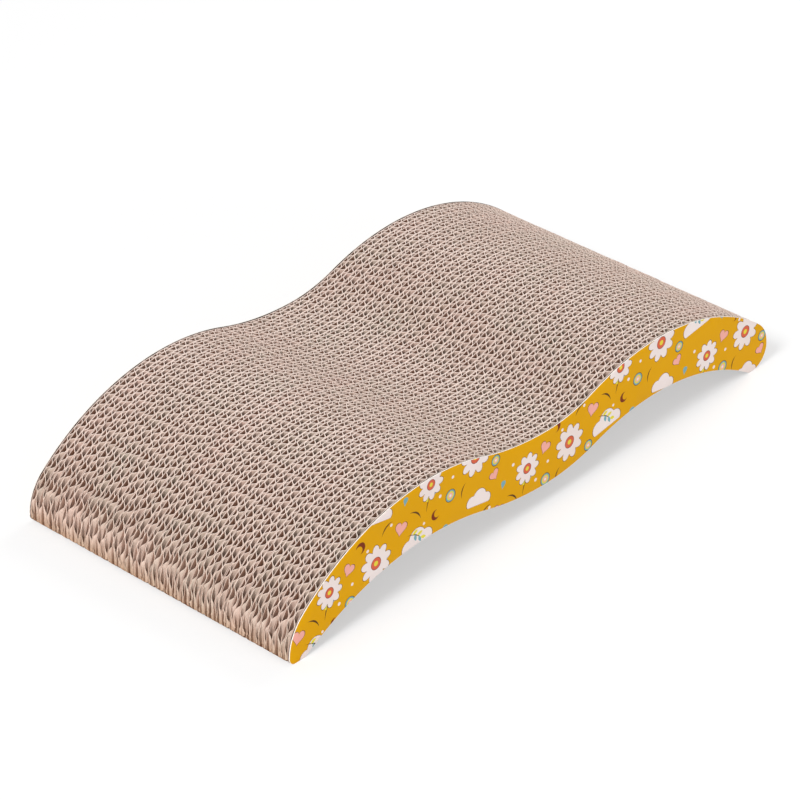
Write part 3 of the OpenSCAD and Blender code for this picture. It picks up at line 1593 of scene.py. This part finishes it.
@dataclass(frozen=True)
class PhotoCamera:
    """The camera of the photograph, found from the object's edges in it.

    Its angles are in radians, and its sensor is in millimetres.
    """

    azimuth: float = -0.8347
    elevation: float = 0.5698
    roll: float = 0.003
    distance: float = 2.2844
    focal_pixels: float = 3719.9
    image_pixels: float = 800.0
    target: Spot = (-5.29 * MM, 3.47 * MM, 30 * MM)
    sensor: float = 36.0
    nearest: float = 0.05
    farthest: float = 50.0

    def build(self) -> bpy.types.Object:
        """Make the scene's camera: it stands back from its target and rolls about its view.

        Returns:
            The camera's object.
        """
        back = direction(self.azimuth, self.elevation)
        right = (-back).cross(Vector((0, 0, 1))).normalized()
        up = back.cross(right)
        cos, sin = math.cos(self.roll), math.sin(self.roll)
        turned = (cos * right + sin * up, cos * up - sin * right, back)
        data = bpy.data.cameras.new("photo_camera")
        data.sensor_fit = "HORIZONTAL"
        data.sensor_width = self.sensor
        data.lens = self.focal_pixels / self.image_pixels * self.sensor
        data.clip_start, data.clip_end = self.nearest, self.farthest
        camera = link("photo_camera", data)
        stand = Matrix(turned).transposed().to_4x4()
        stand.translation = Vector(self.target) + self.distance * back
        camera.matrix_world = stand
        bpy.context.scene.camera = camera
        return camera


@dataclass(frozen=True)
class Lamp:
    """A large soft lamp aimed at the origin, at angles in degrees and a distance in metres."""

    name: str
    azimuth: float
    elevation: float
    distance: float
    size: float
    level: float

    def build(self) -> bpy.types.Object:
        """Make the lamp, with the power that lights a facing surface to its level.

        Returns:
            The lamp's object.
        """
        data = bpy.data.lights.new(self.name, "AREA")
        data.shape = "DISK"
        data.size = self.size
        data.energy = self.level * (math.pi * self.distance) ** 2
        lamp = link(self.name, data)
        towards = direction(math.radians(self.azimuth), math.radians(self.elevation))
        turned = towards.to_track_quat("Z", "Y").to_matrix().to_4x4()
        lamp.matrix_world = Matrix.Translation(self.distance * towards) @ turned
        return lamp


@dataclass(frozen=True)
class Studio:
    """Pale floor, white surroundings and soft lamps."""

    floor_size: float = 14.0
    floor_colour: Colour = (0.93, 0.93, 0.93)
    sky_level: float = 0.415
    seen_white: float = 0.5
    lamps: tuple[Lamp, ...] = (
        Lamp("key_lamp", -82, 43, 5.2, 1.8, 0.79),
        Lamp("low_fill_lamp", 12, 8, 2.8, 1.2, 0.27),
        Lamp("far_lamp", 95, 34, 2.8, 1.2, 0.3),
    )

    def build(self) -> None:
        """Make the floor, the world and the lamps, and set the plain view transform."""
        bpy.context.scene.view_settings.view_transform = "Standard"
        self.floor()
        self.world()
        for lamp in self.lamps:
            lamp.build()

    def floor(self) -> None:
        """Make the floor: a flat square just under the object, marked as stage."""
        half = self.floor_size / 2
        corners = [(-half, -half, 0.0), (half, -half, 0.0), (half, half, 0.0), (-half, half, 0.0)]
        mesh = bpy.data.meshes.new("studio_floor")
        mesh.from_pydata(corners, [], [(0, 1, 2, 3)])
        floor = link("studio_floor", mesh)
        mesh.materials.append(self.floor_paint())
        floor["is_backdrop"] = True

    def floor_paint(self) -> bpy.types.Material:
        """Matt pale paint that looks partly white by itself, so that its shadows stay soft.

        Returns:
            The floor's material.
        """
        material = bpy.data.materials.new("studio_floor_paint")
        wiring = Wiring.fresh(material)
        matt = wiring.add("ShaderNodeBsdfDiffuse")
        wiring.feed(matt.inputs["Color"], self.floor_colour)
        white = wiring.add("ShaderNodeEmission")
        wiring.feed(white.inputs["Color"], PURE_WHITE)
        both = wiring.add("ShaderNodeMixShader")
        seen = wiring.add("ShaderNodeLightPath").outputs["Is Camera Ray"]
        wiring.feed(both.inputs[0], wiring.math("MULTIPLY", seen, self.seen_white))
        wiring.feed(both.inputs[1], matt.outputs[0])
        wiring.feed(both.inputs[2], white.outputs[0])
        end = wiring.add("ShaderNodeOutputMaterial")
        wiring.feed(end.inputs[0], both.outputs[0])
        return material

    def world(self) -> None:
        """Make the world: plain light on the object, and white where it is seen or mirrored."""
        world = bpy.data.worlds.new("studio_world")
        bpy.context.scene.world = world
        wiring = Wiring.fresh(world)
        rays = wiring.add("ShaderNodeLightPath").outputs
        seen = wiring.math("MAXIMUM", rays["Is Camera Ray"], rays["Is Glossy Ray"])
        seen = wiring.math("MAXIMUM", seen, rays["Is Transmission Ray"])
        background = wiring.add("ShaderNodeBackground")
        wiring.feed(background.inputs["Color"], PURE_WHITE)
        wiring.feed(background.inputs["Strength"], wiring.spread(seen, 0, 1, self.sky_level, 1.0))
        end = wiring.add("ShaderNodeOutputWorld")
        wiring.feed(end.inputs[0], background.outputs[0])


def report(piece: bpy.types.Object) -> None:
    """Log a piece's name, its faces and its highest point."""
    heights = [corner[2] for corner in piece.bound_box]
    LOG.info("%s: %d faces, up to %.1f mm", piece.name, len(piece.data.polygons), max(heights) / MM)


def main(frame: dict, cad_box: tuple[Vector, Vector]) -> None:
    """Build the strips, the side boards, the studio and the camera.

    Args:
        frame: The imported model.
        cad_box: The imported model's box.
    """
    PhotoCamera().build()
    Studio().build()
    strips = sorted(name for name in frame["nodes"] if name.startswith("strip_"))
    low, high = cad_box
    outline = Outline(length=high.x - low.x, crest_h=high.z)
    kraft = KraftFinish().build()
    papers = (PrintFinish().build(), SheetFinish().build(), GreyFinish().build())
    block = StripBlock(outline, strips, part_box(strips[0])[0].y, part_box(strips[-1])[1].y)
    for piece in block.build():
        piece.data.materials.append(kraft)
        report(piece)
    for node, shift in PRINT_SHIFTS.items():
        near, far = (corner.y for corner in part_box(node))
        outer, inner = (near, far) if near + far < 0 else (far, near)
        piece = SideBoard(outline, node, outer, inner, shift).build()
        for paper in papers:
            piece.data.materials.append(paper)
        report(piece)


if __name__ == "__main__":
    logging.basicConfig(level=logging.INFO, format="%(message)s")
    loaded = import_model()
    start_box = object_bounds()
    main(loaded, start_box)
